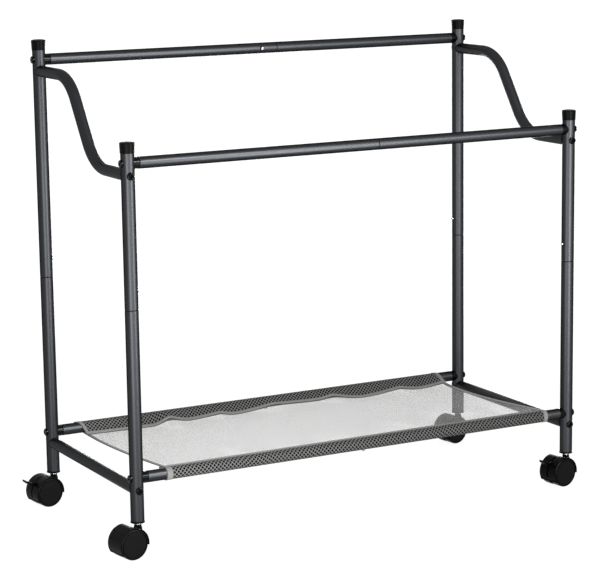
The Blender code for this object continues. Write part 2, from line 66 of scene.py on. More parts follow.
BUTTON_NOSE = 0.0021
FLANGE_DEPTH = {"post": 0.0037, "rail": 0.004}
FLANGE_THICK = 0.001
FLANGE_GROWTH = 1.3
HOLE_RING = 0.006
BEND_R = 0.084
BEND_ANGLE = math.radians(55)
BEND_STEPS = 20
CAP_FOOT_R, CAP_CROWN_R = 0.0116, 0.0123
CAP_SHOULDER = 0.0018
CAP_ROOF = 0.0045
CAP_DOME = ((0.0028, 0.0006), (0.0036, 0.0003), (0.0026, 0.0001))
BOLT_R = 0.0063
BOLT_HEIGHT = 0.0028
BOLT_ROUND = 0.0019
BOLT_SUNK = 0.0012
BOLT_SOCKET_R = 0.0026
BOLT_SOCKET_FLOOR = 0.0006
WHEEL_R = 0.025
HOOD_R = 0.0269
HOOD_BORE_R = 0.0257
DRUM_HALF = 0.0192
WEB_HALF = 0.0035
TRAIL = 0.018
AXLE_DROP = 0.0325
NECK_R = 0.006
NECK_TOP = AXLE_DROP - 0.0056
PIN_SIDES, HEAD_SIDES, NECK_SIDES = 24, 32, 40
TUBE_SIDES, ROUND_SIDES, DRUM_SIDES = 48, 64, 96

CORNERS = ("rear_left", "rear_right", "front_left", "front_right")
BRAKED = ("rear_left", "front_right")
JOINTS = {joint["name"]: joint for joint in frame["record"]["behaviour"]["joints"]}


def middle(node):
    """The centre of a CAD node's box."""
    low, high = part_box(node)
    return (low + high) / 2


POST_AT = {corner: middle("cap_" + corner) for corner in CORNERS}
CENTRE = sum(POST_AT.values(), Vector()) / 4
FOOT_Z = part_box("post_front_left_lower")[0].z
SEAM_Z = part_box("post_front_left_upper")[0].z - SEAM_GAP
RAIL_Z = {
    "rear_top": middle("rail_rear_top_left").z,
    "front_top": middle("rail_front_top_left").z,
    "rear_bottom": middle("rail_rear_bottom_left").z,
    "front_bottom": middle("rail_front_bottom_left").z,
}
RAIL_Y = {rail: middle("rail_" + rail + "_left").y for rail in RAIL_Z}
HALF_X = POST_AT["rear_right"].x - CENTRE.x
HALF_Y = RAIL_Y["rear_top"] - CENTRE.y


# Materials

def linear(code):
    """An sRGB hex colour as linear red, green, blue and alpha."""
    parts = [int(code[i : i + 2], 16) / 255 for i in (1, 3, 5)]
    return [c / 12.92 if c <= 0.04045 else ((c + 0.055) / 1.055) ** 2.4 for c in parts] + [1]


def add(tree, kind, inputs=None, **settings):
    """Adds a node with its settings; each input takes a value or another node's output."""
    node = tree.nodes.new(kind)
    for key, value in settings.items():
        setattr(node, key, value)
    for key, value in (inputs or {}).items():
        if isinstance(value, bpy.types.NodeSocket):
            tree.links.new(value, node.inputs[key])
        else:
            node.inputs[key].default_value = value
    return node


def new_finish(name, values):
    """A new material with the values of its shader set; returns it with its tree and shader."""
    made = bpy.data.materials.new(name)
    made.use_nodes = True
    tree = made.node_tree
    shader = tree.nodes["Principled BSDF"]
    for key, value in values.items():
        shader.inputs[key].default_value = value
    return made, tree, shader


def uneven(tree, shader, size_mm, detail, low, high):
    """Lets the roughness drift from low to high in patches of one size; returns the patches."""
    where = add(tree, "ShaderNodeTexCoord").outputs["Object"]
    patches = add(
        tree,
        "ShaderNodeTexNoise",
        {"Vector": where, "Scale": 1000 / size_mm, "Detail": detail},
    )
    rough = add(
        tree,
        "ShaderNodeMapRange",
        {"Value": patches.outputs["Fac"], "To Min": low, "To Max": high},
    )
    tree.links.new(rough.outputs["Result"], shader.inputs["Roughness"])
    return patches.outputs["Fac"]


def satin_powder_coat(name, edge):
    """Charcoal metallic powder coat on steel tube: a soft sheen, a little uneven, and an edge tint
    that sets how bright the edges are, painted shade where it is dark.
    """
    values = {
        "Base Color": linear("#2f3032"),
        "Metallic": 1,
        "Specular Tint": linear(edge),
    }
    made, tree, shader = new_finish(name, values)
    uneven(tree, shader, size_mm=40, detail=1, low=0.37, high=0.39)
    return made


def moulded_nylon(name, code, roughness, grain_mm, gloss):
    """Black moulded nylon with a fine spark-eroded grain: nearly matt, a dull edge sheen."""
    values = {"Base Color": linear(code), "Specular IOR Level": gloss}
    made, tree, shader = new_finish(name, values)
    spread = 0.06
    grain = uneven(tree, shader, grain_mm, detail=2, low=roughness - spread, high=roughness + spread)
    bump = add(tree, "ShaderNodeBump", {"Height": grain, "Strength": 0.06, "Distance": 0.0002})
    tree.links.new(bump.outputs["Normal"], shader.inputs["Normal"])
    return made


def bright_steel():
    """Nickel-plated steel: a clear mirror with faint turning marks."""
    values = {"Base Color": linear("#a2a3a5"), "Metallic": 1}
    made, tree, shader = new_finish("bright_steel", values)
    uneven(tree, shader, size_mm=2 / 3, detail=2, low=0.1, high=0.22)
    return made


def black_oxide():
    """Blackened steel bolt heads: dark, with a slight oily gloss."""
    values = {"Base Color": linear("#040404"), "Specular IOR Level": 0.08}
    made, tree, shader = new_finish("black_oxide_steel", values)
    uneven(tree, shader, size_mm=10 / 9, detail=2, low=0.1, high=0.16)
    return made


# Thread spacing, and a thread's share of it. On the sleeves the weave is drawn about three times as
# coarse so that it shows, and the share is how far a thread's soft edge reaches
SHEET_PITCH, SLEEVE_PITCH = 0.0021, 0.0071
SHEET_SHARE, SLEEVE_SHARE = 0.165, 0.2
THREAD_EDGE = 0.001
# How far in from each bottom rail's axis the weave lies over the tube, where its holes are filled
# with painted near-black as painted shade
REAR_SLEEVE_REACH, FRONT_SLEEVE_REACH = 0.0165, 0.004


def mesh_cloth():
    """Open polyester mesh on both diagonals: clear holes on the sheet, while on the sleeves the holes
    are opaque near-black, a painted dark tube and its shade, and the threads a darker grey, painted
    shade.
    """
    made, tree, shader = new_finish("polyester_mesh", {"Roughness": 0.7, "Specular IOR Level": 0.06})
    where = add(tree, "ShaderNodeTexCoord").outputs["Object"]
    depth = add(tree, "ShaderNodeSeparateXYZ", {"Vector": where}).outputs["Y"]
    rear = add(
        tree,
        "ShaderNodeMath",
        {0: depth, 1: CENTRE.y + HALF_Y - REAR_SLEEVE_REACH},
        operation="GREATER_THAN",
    )
    front = add(
        tree,
        "ShaderNodeMath",
        {0: depth, 1: CENTRE.y - HALF_Y + FRONT_SLEEVE_REACH},
        operation="LESS_THAN",
    )
    on_tube = add(
        tree,
        "ShaderNodeMath",
        {0: rear.outputs[0], 1: front.outputs[0]},
        operation="MAXIMUM",
    )
    pitch = add(
        tree,
        "ShaderNodeMapRange",
        {"Value": on_tube.outputs[0], "To Min": SHEET_PITCH, "To Max": SLEEVE_PITCH},
    )
    inner = add(
        tree,
        "ShaderNodeMapRange",
        {"Value": on_tube.outputs[0], "To Min": SHEET_SHARE / 2, "To Max": 0},
    )
    outer = add(
        tree,
        "ShaderNodeMapRange",
        {
            "Value": on_tube.outputs[0],
            "To Min": SHEET_SHARE / 2 + THREAD_EDGE,
            "To Max": SLEEVE_SHARE,
        },
    )
    place = add(tree, "ShaderNodeUVMap", uv_map="weave").outputs["UV"]
    split = add(tree, "ShaderNodeSeparateXYZ", {"Vector": place})
    threads = []
    for way in ("ADD", "SUBTRACT"):
        lean = add(
            tree,
            "ShaderNodeMath",
            {0: split.outputs["X"], 1: split.outputs["Y"]},
            operation=way,
        )
        step = add(
            tree,
            "ShaderNodeMath",
            {0: lean.outputs[0], 1: pitch.outputs["Result"]},
            operation="DIVIDE",
        )
        saw = add(tree, "ShaderNodeMath", {0: step.outputs[0], 1: 0.5}, operation="PINGPONG")
        threads.append(
            add(
                tree,
                "ShaderNodeMapRange",
                {
                    "Value": saw.outputs[0],
                    "From Min": inner.outputs["Result"],
                    "From Max": outer.outputs["Result"],
                    "To Min": 1,
                    "To Max": 0,
                },
                interpolation_type="SMOOTHSTEP",
            )
        )
    thread = add(
        tree,
        "ShaderNodeMath",
        {0: threads[0].outputs["Result"], 1: threads[1].outputs["Result"]},
        operation="MAXIMUM",
    )
    cover = add(
        tree,
        "ShaderNodeMath",
        {0: thread.outputs[0], 1: on_tube.outputs[0]},
        operation="MAXIMUM",
    )
    tree.links.new(cover.outputs[0], shader.inputs["Alpha"])
    # The threads are a darker grey on the sleeves than on the sheet: painted shade from the dark tube
    # under them
    grey = add(
        tree,
        "ShaderNodeMix",
        {0: on_tube.outputs[0], 6: linear("#c4c4c2"), 7: linear("#949492")},
        data_type="RGBA",
    )
    # On the sleeves the holes take an opaque near-black: a painted dark tube and painted shade under
    # the threads
    thread_or_painted_gap = add(
        tree,
        "ShaderNodeMix",
        {0: thread.outputs[0], 6: linear("#040404"), 7: grey.outputs[2]},
        data_type="RGBA",
    )
    tree.links.new(thread_or_painted_gap.outputs[2], shader.inputs["Base Color"])
    return made


# Ribs of the tape, drawn twice as coarse as real ones so that they show
TAPE_RIB = 0.0022
# Where the sewn line starts and is full, from the tape's middle, as a share of its width
SEWN_FROM, SEWN_FULL = 0.36, 0.44


def binding_tape(name, groove, rib, sewn):
    """Woven polyester binding: matt grey, fine ribs across it and a darker sewn line by each edge."""
    made, tree, shader = new_finish(name, {"Roughness": 0.85, "Specular IOR Level": 0.2})
    place = add(tree, "ShaderNodeUVMap", uv_map="weave").outputs["UV"]
    split = add(tree, "ShaderNodeSeparateXYZ", {"Vector": place})
    turns = add(
        tree,
        "ShaderNodeMath",
        {0: split.outputs["Y"], 1: math.tau / TAPE_RIB},
        operation="MULTIPLY",
    )
    ribs = add(tree, "ShaderNodeMath", {0: turns.outputs[0]}, operation="SINE")
    edge = add(tree, "ShaderNodeMath", {0: split.outputs["X"], 1: 0.5}, operation="SUBTRACT")
    edge = add(tree, "ShaderNodeMath", {0: edge.outputs[0]}, operation="ABSOLUTE")
    seam = add(
        tree,
        "ShaderNodeMapRange",
        {"Value": edge.outputs[0], "From Min": SEWN_FROM, "From Max": SEWN_FULL},
    )
    crest = add(tree, "ShaderNodeMapRange", {"Value": ribs.outputs[0], "From Min": -1})
    grey = add(
        tree,
        "ShaderNodeMix",
        {0: crest.outputs["Result"], 6: linear(groove), 7: linear(rib)},
        data_type="RGBA",
    )
    grey = add(
        tree,
        "ShaderNodeMix",
        {0: seam.outputs["Result"], 6: grey.outputs[2], 7: linear(sewn)},
        data_type="RGBA",
    )
    tree.links.new(grey.outputs[2], shader.inputs["Base Color"])
    bump = add(
        tree,
        "ShaderNodeBump",
        {"Height": ribs.outputs[0], "Strength": 0.3, "Distance": 0.0002},
    )
    tree.links.new(bump.outputs["Normal"], shader.inputs["Normal"])
    return made


# Two copies of one coat: on the posts and rails a darker edge tint paints shade onto the edges, while
# the side tubes, seen almost end on, get a lighter edge tint, painted light
PAINT = satin_powder_coat("satin_powder_coat", "#9c9c9c")
PAINTED_LIGHT_EDGE_COAT = satin_powder_coat("satin_powder_coat_painted_light_edge", "#c4c4c4")
NYLON = moulded_nylon("moulded_nylon", "#090909", 0.34, 0.5, 0.03)
POLISHED_NYLON = moulded_nylon("polished_nylon", "#090909", 0.22, 0.9, 0.07)
WHEEL_NYLON = moulded_nylon("wheel_nylon", "#0e0e0e", 0.3, 0.6, 0.06)
STEEL = bright_steel()
OXIDE = black_oxide()
CLOTH = mesh_cloth()
TAPE = binding_tape("woven_binding_tape", "#868684", "#9d9d9b", "#636362")
# A lighter copy of the binding tape for the band that faces the front: painted light
PAINTED_LIGHT_BAND = binding_tape("woven_tape_painted_light", "#9e9e9c", "#b8b8b6", "#7c7c7a")


# Modelling helpers

def only(obj):
    """Selects one object and makes it the active one."""
    bpy.ops.object.select_all(action="DESELECT")
    obj.select_set(True)
    bpy.context.view_layer.objects.active = obj


def pick(obj, kind, test):
    """In edit mode, selects the faces or edges that pass a test, and nothing else."""
    bpy.ops.mesh.select_mode(type=kind)
    bpy.ops.mesh.select_all(action="DESELECT")
    mesh = bmesh.from_edit_mesh(obj.data)
    for item in mesh.faces if kind == "FACE" else mesh.edges:
        item.select_set(test(item))
    mesh.select_flush_mode()
    bmesh.update_edit_mesh(obj.data)


def edit(obj):
    """Opens one object in edit mode."""
    only(obj)
    bpy.ops.object.mode_set(mode="EDIT")


def done(obj):
    """Leaves edit mode and hands the object back."""
    bpy.ops.object.mode_set(mode="OBJECT")
    return obj


def cylinder(name, radius, low, high, sides=TUBE_SIDES):
    """A cylinder about Z from one height to another, ready to be shaped."""
    bpy.ops.object.select_all(action="DESELECT")
    bpy.ops.mesh.primitive_cylinder_add(
        vertices=sides, radius=radius, depth=high - low, location=(0, 0, (low + high) / 2)
    )
    obj = bpy.context.active_object
    obj.name = name
    obj.data.name = name
    bpy.ops.object.transform_apply(location=True, rotation=True, scale=True)
    return obj


def rotation(angle, axis):
    """A turn about an axis through the origin, as a matrix."""
    return Matrix.Rotation(angle, 4, axis)


def translation(x, y, z):
    """A move, as a matrix."""
    return Matrix.Translation((x, y, z))


def turn(obj, angle, axis):
    """Turns a mesh about an axis through the origin."""
    obj.data.transform(rotation(angle, axis))
    return obj


def shift(obj, x, y, z):
    """Moves a mesh."""
    obj.data.transform(translation(x, y, z))
    return obj


def combine(obj, other, operation):
    """Adds or cuts away another shape, which is used up."""
    only(obj)
    step = obj.modifiers.new("combine", "BOOLEAN")
    step.operation = operation
    step.solver = "EXACT"
    step.object = other
    bpy.ops.object.modifier_apply(modifier=step.name)
    bpy.data.objects.remove(other)
    return obj


def smooth(obj, angle=30):
    """Shades the piece smooth, with each large face kept even and the narrow ones taking the turn."""
    only(obj)
    bpy.ops.object.shade_smooth_by_angle(angle=math.radians(angle))
    step = obj.modifiers.new("even", "WEIGHTED_NORMAL")
    step.keep_sharp = True
    bpy.ops.object.modifier_apply(modifier=step.name)
    return obj


def soften(obj, width, segments=2, angle=35):
    """Rounds the sharp edges and shades the piece smooth."""
    only(obj)
    step = obj.modifiers.new("soften", "BEVEL")
    step.width = width
    step.segments = segments
    step.limit_method = "ANGLE"
    step.angle_limit = math.radians(angle)
    bpy.ops.object.modifier_apply(modifier=step.name)
    return smooth(obj)


def at_end(z):
    """A test for the flat end face at one height."""
    return lambda face: abs(face.calc_center_median().z - z) < 1e-6 and abs(face.normal.z) > 0.99


def ring(radius, z):
    """A test for the edges of a circle at one radius and height."""
    def test(edge):
        return all(
            abs(v.co.z - z) < 1e-6 and abs(v.co.xy.length - radius) < 1e-5 for v in edge.verts
        )
    return test


def drawn_tube(name, radius, low, high, rings=()):
    """A cut length of tube: both ends are inset, pushed in for the bore and rounded over."""
    obj = cylinder(name, radius, low, high)
    bore = BORE_SHARE * min(high - low, BORE_SPAN)
    edit(obj)
    for z in rings:
        bpy.ops.mesh.select_all(action="SELECT")
        bpy.ops.mesh.bisect(plane_co=(0, 0, z), plane_no=(0, 0, 1))
    for end in (low, high):
        pick(obj, "FACE", at_end(end))
        bpy.ops.mesh.inset(thickness=WALL, depth=0)
        bpy.ops.mesh.inset(thickness=HAIRLINE, depth=-bore)
        pick(obj, "EDGE", ring(radius, end))
        bpy.ops.mesh.bevel(offset=TUBE_END_ROUND, segments=3)
    return done(obj)


def copy_of(obj, name, matrix):
    """A copy with its own mesh, set in place."""
    made = obj.copy()
    made.data = obj.data.copy()
    made.name = name
    made.data.name = name
    made.data.transform(matrix)
    bpy.context.scene.collection.objects.link(made)
    return made


def give(obj, body, material, slot, *nodes):
    """Sets a finished piece's material and body, and hides the CAD nodes that it stands for; the slot
    is not used.
    """
    obj.data.materials.clear()
    obj.data.materials.append(material)
    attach(obj, body)
    if nodes:
        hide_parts(*nodes)
    return obj


# Posts: a lower and an upper tube, with the snap button's hole above the joint

def button_hole(radius):
    """A short cutter that reaches through one wall along +X."""
    hole = cylinder("hole_cutter", BUTTON_HOLE_R, 0, 2 * radius, PIN_SIDES)
    return turn(hole, math.pi / 2, "Y")


for corner in CORNERS:
    x, y = POST_AT[corner].xy
    inward = 1 if x < CENTRE.x else -1
    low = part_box("post_" + corner + "_lower")[0].z
    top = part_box("post_" + corner + "_upper")[1].z
    button_z = middle("snap_button_post_" + corner).z
    rings = (button_z - HOLE_RING, button_z + HOLE_RING)
    lower = drawn_tube(corner + "_lower_tube", POST_R, low, SEAM_Z)
    upper = drawn_tube(corner + "_upper_tube", POST_R, SEAM_Z + SEAM_GAP, top, rings)
    hole = shift(turn(button_hole(POST_R), 0 if inward > 0 else math.pi, "Z"), 0, 0, button_z)
    combine(upper, hole, "DIFFERENCE")
    for piece, node in ((lower, "_lower"), (upper, "_upper")):
        smooth(shift(piece, x, y, 0))
        give(piece, "frame", PAINT, "tube_paint", "post_" + corner + node)

# Rails: a left and a right tube that meet right of the middle
for rail, z in RAIL_Z.items():
    y = RAIL_Y[rail]
    left_low, left_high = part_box("rail_" + rail + "_left")
    right_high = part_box("rail_" + rail + "_right")[1]
    seam = left_high.x + SEAM_GAP
    button = middle("snap_button_rail_" + rail)
    facing = {"rear_top": math.pi / 2, "front_top": -math.pi / 2}.get(rail, 0)
    rings = (button.x - HOLE_RING, button.x + HOLE_RING)
    left = drawn_tube(rail + "_left_tube", RAIL_R, left_low.x, left_high.x, rings)
    turn(left, math.pi / 2, "Y")
    hole = turn(button_hole(RAIL_R), math.pi / 2, "Y")
    combine(left, shift(turn(hole, -facing, "X"), button.x, 0, 0), "DIFFERENCE")
    right = turn(drawn_tube(rail + "_right_tube", RAIL_R, seam, right_high.x), math.pi / 2, "Y")
    for piece, node in ((left, "_left"), (right, "_right")):
        smooth(shift(piece, 0, y, z))
        give(piece, "frame", PAINT, "tube_paint", "rail_" + rail + node)


# Side tubes: bent or straight, cut to the posts' curve at both ends

def side_tube(name, rear_z, front_z):
    """A circle drawn out straight, spun through two bends and drawn out again, at X = 0."""
    fall = rear_z - front_z
    bpy.ops.object.select_all(action="DESELECT")
    bpy.ops.mesh.primitive_circle_add(
        vertices=TUBE_SIDES,
        radius=RAIL_R,
        fill_type="NOTHING",
        location=(0, HALF_Y, rear_z),
        rotation=(math.pi / 2, 0, 0),
    )
    obj = bpy.context.active_object
    obj.name = name
    bpy.ops.object.transform_apply(location=True, rotation=True, scale=True)
    bpy.ops.object.mode_set(mode="EDIT")
    bpy.ops.mesh.select_all(action="SELECT")
    draw = bpy.ops.mesh.extrude_region_move
    if fall > RAIL_R:
        slope = (fall - 2 * BEND_R * (1 - math.cos(BEND_ANGLE))) / math.sin(BEND_ANGLE)
        run = 2 * BEND_R * math.sin(BEND_ANGLE) + slope * math.cos(BEND_ANGLE)
        level = HALF_Y - run / 2
        draw(TRANSFORM_OT_translate={"value": (0, -level, 0)})
        bpy.ops.mesh.spin(
            steps=BEND_STEPS,
            angle=-BEND_ANGLE,
            center=(0, run / 2, rear_z - BEND_R),
            axis=(1, 0, 0),
        )
        draw(
            TRANSFORM_OT_translate={
                "value": (0, -slope * math.cos(BEND_ANGLE), -slope * math.sin(BEND_ANGLE))
            }
        )
        bpy.ops.mesh.spin(
            steps=BEND_STEPS,
            angle=BEND_ANGLE,
            center=(0, -run / 2, front_z + BEND_R),
            axis=(1, 0, 0),
        )
        draw(TRANSFORM_OT_translate={"value": (0, -level, 0)})
    else:
        draw(TRANSFORM_OT_translate={"value": (0, -2 * HALF_Y, 0)})
    bpy.ops.mesh.select_all(action="SELECT")
    bpy.ops.mesh.normals_make_consistent(inside=False)
    done(obj)
    step = obj.modifiers.new("wall", "SOLIDIFY")
    step.thickness = WALL
    step.offset = -1
    bpy.ops.object.modifier_apply(modifier=step.name)
    for y in (HALF_Y, -HALF_Y):
        cutter = cylinder("post_cutter", POST_R + GASKET, 0, 1, ROUND_SIDES)
        combine(obj, shift(cutter, 0, y, 0), "DIFFERENCE")
    return soften(obj, EDGE_ROUND, 2, 50)


def tube_gasket():
    """A thin black ring between a side tube's end and the post behind it, towards +Y."""
    reach = 0.03
    obj = turn(cylinder("gasket", RAIL_R + FIT, 0, reach), -math.pi / 2, "X")
    bore = turn(cylinder("bore", RAIL_R + FIT - GASKET_WALL, -reach, 2 * reach), -math.pi / 2, "X")
    combine(obj, bore, "DIFFERENCE")
    outer = cylinder("gasket_shell", POST_R + GASKET - FIT, -reach, reach, ROUND_SIDES)
    core = cylinder("gasket_core", POST_R + FIT, -2 * reach, 2 * reach, ROUND_SIDES)
    combine(obj, outer, "INTERSECT")
    combine(obj, core, "DIFFERENCE")
    return soften(obj, FINE_ROUND, 2, 45)


gasket = tube_gasket()
for kind in ("top", "bottom"):
    for end in ("left", "right"):
        node = kind + "_side_tube_" + end
        low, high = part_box(node)
        rear_z = high.z - RAIL_R
        front_z = low.z + RAIL_R
        x = (low.x + high.x) / 2
        tube = side_tube(kind + "_side_bar_" + end, rear_z, front_z)
        shift(tube, x, CENTRE.y, 0)
        give(tube, "frame", PAINTED_LIGHT_EDGE_COAT, "tube_paint", node)
        for place, y, z, spin in (
            ("rear", CENTRE.y + HALF_Y, rear_z, math.pi),
            ("front", CENTRE.y - HALF_Y, front_z, 0),
        ):
            name = kind + "_side_gasket_" + place + "_" + end
            made = copy_of(gasket, name, translation(x, y, z) @ rotation(spin, "Z"))
            give(made, "frame", NYLON, "black_plastic")
bpy.data.objects.remove(gasket)


# Rail-end saddles: a moulded collar that cups the post

def rail_saddle():
    """The collar and its plug, along +X from the post at the origin."""
    reach = POST_R + COLLAR
    obj = cylinder("saddle", RAIL_R, 0, reach)
    edit(obj)
    pick(obj, "FACE", at_end(reach))
    bpy.ops.mesh.inset(thickness=WALL + FIT, depth=0)
    bpy.ops.mesh.extrude_region_move(TRANSFORM_OT_translate={"value": (0, 0, PLUG)})
    done(obj)
    turn(obj, math.pi / 2, "Y")
    post = cylinder("saddle_post", POST_R + FIT, -2 * POST_R, 2 * POST_R, ROUND_SIDES)
    combine(obj, post, "DIFFERENCE")
    return soften(obj, SMALL_ROUND, 2, 50)


saddle = rail_saddle()
for rail, z in RAIL_Z.items():
    for end, side in (("left", -1), ("right", 1)):
        spin = 0 if side < 0 else math.pi
        matrix = translation(CENTRE.x + side * HALF_X, RAIL_Y[rail], z) @ rotation(spin, "Z")
        made = copy_of(saddle, rail + "_cup_" + end, matrix)
        give(made, "frame", POLISHED_NYLON, "black_plastic", "saddle_" + rail + "_" + end)
bpy.data.objects.remove(saddle)


# Post caps: tapered push-on caps with a low dome

def post_cap(height):
    """A plug that widens upwards, with a rounded shoulder, a low dome and an open foot."""
    obj = cylinder("cap", CAP_FOOT_R, 0, height, ROUND_SIDES)
    edit(obj)
    pick(obj, "FACE", at_end(height))
    grow = CAP_CROWN_R / CAP_FOOT_R
    bpy.ops.transform.resize(value=(grow, grow, 1))
    pick(obj, "EDGE", ring(CAP_CROWN_R, height))
    bpy.ops.mesh.bevel(offset=CAP_SHOULDER, segments=5)
    pick(obj, "FACE", at_end(height))
    for width, lift in CAP_DOME:
        bpy.ops.mesh.inset(thickness=width, depth=lift)
    pick(obj, "FACE", at_end(0))
    bpy.ops.mesh.inset(thickness=CAP_FOOT_R - POST_R - FIT, depth=0)
    bpy.ops.mesh.inset(thickness=HAIRLINE, depth=-(height - CAP_ROOF))
    pick(obj, "EDGE", ring(CAP_FOOT_R, 0))
    bpy.ops.mesh.bevel(offset=FINE_ROUND, segments=2)
    done(obj)
    return smooth(obj, 35)


cap_low, cap_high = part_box("cap_rear_left")
CAP_HEIGHT = cap_high.z - cap_low.z - sum(lift for width, lift in CAP_DOME)
cap = post_cap(CAP_HEIGHT)
for corner in CORNERS:
    x, y = POST_AT[corner].xy
    made = copy_of(cap, corner + "_post_cap", translation(x, y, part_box("cap_" + corner)[0].z))
    give(made, "frame", NYLON, "black_plastic", "cap_" + corner)
bpy.data.objects.remove(cap)


# Bolts: button heads with a hexagon socket, on the outer faces of the posts

def button_bolt():
    """A head that stands on a post's wall, along +X from the post's axis."""
    top = POST_R + BOLT_HEIGHT
    obj = cylinder("bolt", BOLT_R, POST_R - BOLT_SUNK, top, HEAD_SIDES)
    edit(obj)
    pick(obj, "EDGE", ring(BOLT_R, top))
    bpy.ops.mesh.bevel(offset=BOLT_ROUND, segments=5)
    done(obj)
    socket = cylinder("bolt_socket", BOLT_SOCKET_R, POST_R + BOLT_SOCKET_FLOOR, 2 * POST_R, 6)
    combine(obj, socket, "DIFFERENCE")
    turn(obj, math.pi / 2, "Y")
    return smooth(obj, 32)


bolt = button_bolt()
for corner in CORNERS:
    x, y = POST_AT[corner].xy
    row = corner.split("_")[0]
    out_x = math.pi if x < CENTRE.x else 0
    out_y = -math.pi / 2 if row == "front" else math.pi / 2
    side_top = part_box("top_side_tube_left")
    top_z = side_top[0].z + RAIL_R if row == "front" else side_top[1].z - RAIL_R
    low_z = middle("bottom_side_tube_left").z
    for place, z, spin in (
        ("rail_top", RAIL_Z[row + "_top"], out_x),
        ("rail_low", RAIL_Z[row + "_bottom"], out_x),
        ("side_top", top_z, out_y),
        ("side_low", low_z, out_y),
    ):
        made = copy_of(bolt, corner + "_bolt_" + place, translation(x, y, z) @ rotation(spin, "Z"))
        give(made, "frame", OXIDE, "black_plastic")
bpy.data.objects.remove(bolt)


# Snap buttons: domed pins with a flange inside the tube

def snap_button(radius, flange_at):
    """A round-nosed pin along +X from the tube's axis."""
    tip = radius + BUTTON_PROUD
    obj = cylinder("button", BUTTON_R, flange_at, tip, HEAD_SIDES)
    edit(obj)
    pick(obj, "EDGE", ring(BUTTON_R, tip))
    bpy.ops.mesh.bevel(offset=BUTTON_NOSE, segments=6)
    pick(obj, "FACE", at_end(flange_at))
    for share in (0.2, 0.8):
        drop = (0, 0, -share * FLANGE_THICK)
        bpy.ops.mesh.extrude_region_move(TRANSFORM_OT_translate={"value": drop})
    bpy.ops.transform.resize(value=(FLANGE_GROWTH, FLANGE_GROWTH, 1))
    done(obj)
    turn(obj, math.pi / 2, "Y")
    return smooth(obj, 32)


for family, radius in (("post", POST_R), ("rail", RAIL_R)):
    button = snap_button(radius, radius - FLANGE_DEPTH[family])
    for name in CORNERS if family == "post" else RAIL_Z:
        node = "snap_button_" + family + "_" + name
        joint = JOINTS["button_" + family + "_" + name + "_press"]
        outward = -Vector(joint["axis"])
        if family == "post":
            at = Vector((*POST_AT[name].xy, middle(node).z))
        else:
            at = Vector((middle(node).x, RAIL_Y[name], RAIL_Z[name]))
        facing = outward.to_track_quat("X", "Z").to_matrix().to_4x4()
        made = copy_of(button, family + "_pin_" + name, Matrix.Translation(at) @ facing)
        give(made, "button_" + family + "_" + name, STEEL, "chrome", node)
    bpy.data.objects.remove(button)


# Casters, modelled at the axle with +X towards the stem, then copied to each corner

def caster_hood(braked):
    """A half-drum cover with a well for each wheel, a neck for the stem and the brake's slot."""
    obj = turn(cylinder("hood", HOOD_R, -DRUM_HALF, DRUM_HALF, DRUM_SIDES), math.pi / 2, "X")
    rim_angles = math.radians(-6), math.radians(210)
    stem_side, tail_side = (
        Vector((HOOD_R * math.cos(at), 0, HOOD_R * math.sin(at))) for at in rim_angles
    )
    down = (tail_side - stem_side).cross(Vector((0, 1, 0)))
    down *= -1 if down.z > 0 else 1
    edit(obj)
    bpy.ops.mesh.select_all(action="SELECT")
    bpy.ops.mesh.bisect(plane_co=stem_side, plane_no=down, use_fill=True, clear_outer=True)
    done(obj)
    collar_r, collar_top = NECK_R + 0.0012, 0.0225
    for name, radius, top in (("neck", NECK_R, NECK_TOP), ("collar", collar_r, collar_top)):
        part = cylinder(name, radius, 0, top, NECK_SIDES)
        combine(obj, shift(part, TRAIL, 0, 0), "UNION")
    for side in (-1, 1):
        well = cylinder("well", HOOD_BORE_R, WEB_HALF, 2 * DRUM_HALF, DRUM_SIDES)
        combine(obj, turn(well, side * math.pi / 2, "X"), "DIFFERENCE")
    axle_r, axle_half = 0.003, 0.0155
    axle = cylinder("axle", axle_r, -axle_half, axle_half, PIN_SIDES)
    combine(obj, turn(axle, math.pi / 2, "X"), "UNION")
    if braked:
        slot_r, slot_half, slot_x, slot_z = 0.0208, 0.0018, -0.021, 0.0125
        slot = turn(cylinder("slot", slot_r, -slot_half, slot_half, ROUND_SIDES), math.pi / 2, "X")
        combine(obj, shift(slot, slot_x, 0, slot_z), "DIFFERENCE")
    return soften(obj, EDGE_ROUND, 2, 40)


def caster_wheel():
    """One wheel of the pair on the +Y side: round shoulder, grooved face and open inner side."""
    inner, outer = 0.004, 0.0187
    inner_round, shoulder = 0.0008, 0.0018
    groove = ((0.0004, 0), (0.0002, -0.0022), (0.0012, 0), (0.0002, 0.0019), (0.009, 0.0003))
    recess_and_hub = ((0.0045, 0), (0.0003, -0.007), (0.0132, 0), (0.0002, 0.007))
    bore = ((0.0035, 0), (0.00005, -0.012))
    obj = cylinder("wheel", WHEEL_R, inner, outer, DRUM_SIDES)
    edit(obj)
    pick(obj, "EDGE", ring(WHEEL_R, outer))
    bpy.ops.mesh.bevel(offset=shoulder, segments=5)
    for end, steps in ((outer, groove), (inner, recess_and_hub + bore)):
        pick(obj, "FACE", at_end(end))
        for width, lift in steps:
            bpy.ops.mesh.inset(thickness=width, depth=lift)
    pick(obj, "EDGE", ring(WHEEL_R, inner))
    bpy.ops.mesh.bevel(offset=inner_round, segments=3)
    done(obj)
    turn(obj, -math.pi / 2, "X")
    return smooth(obj, 35)


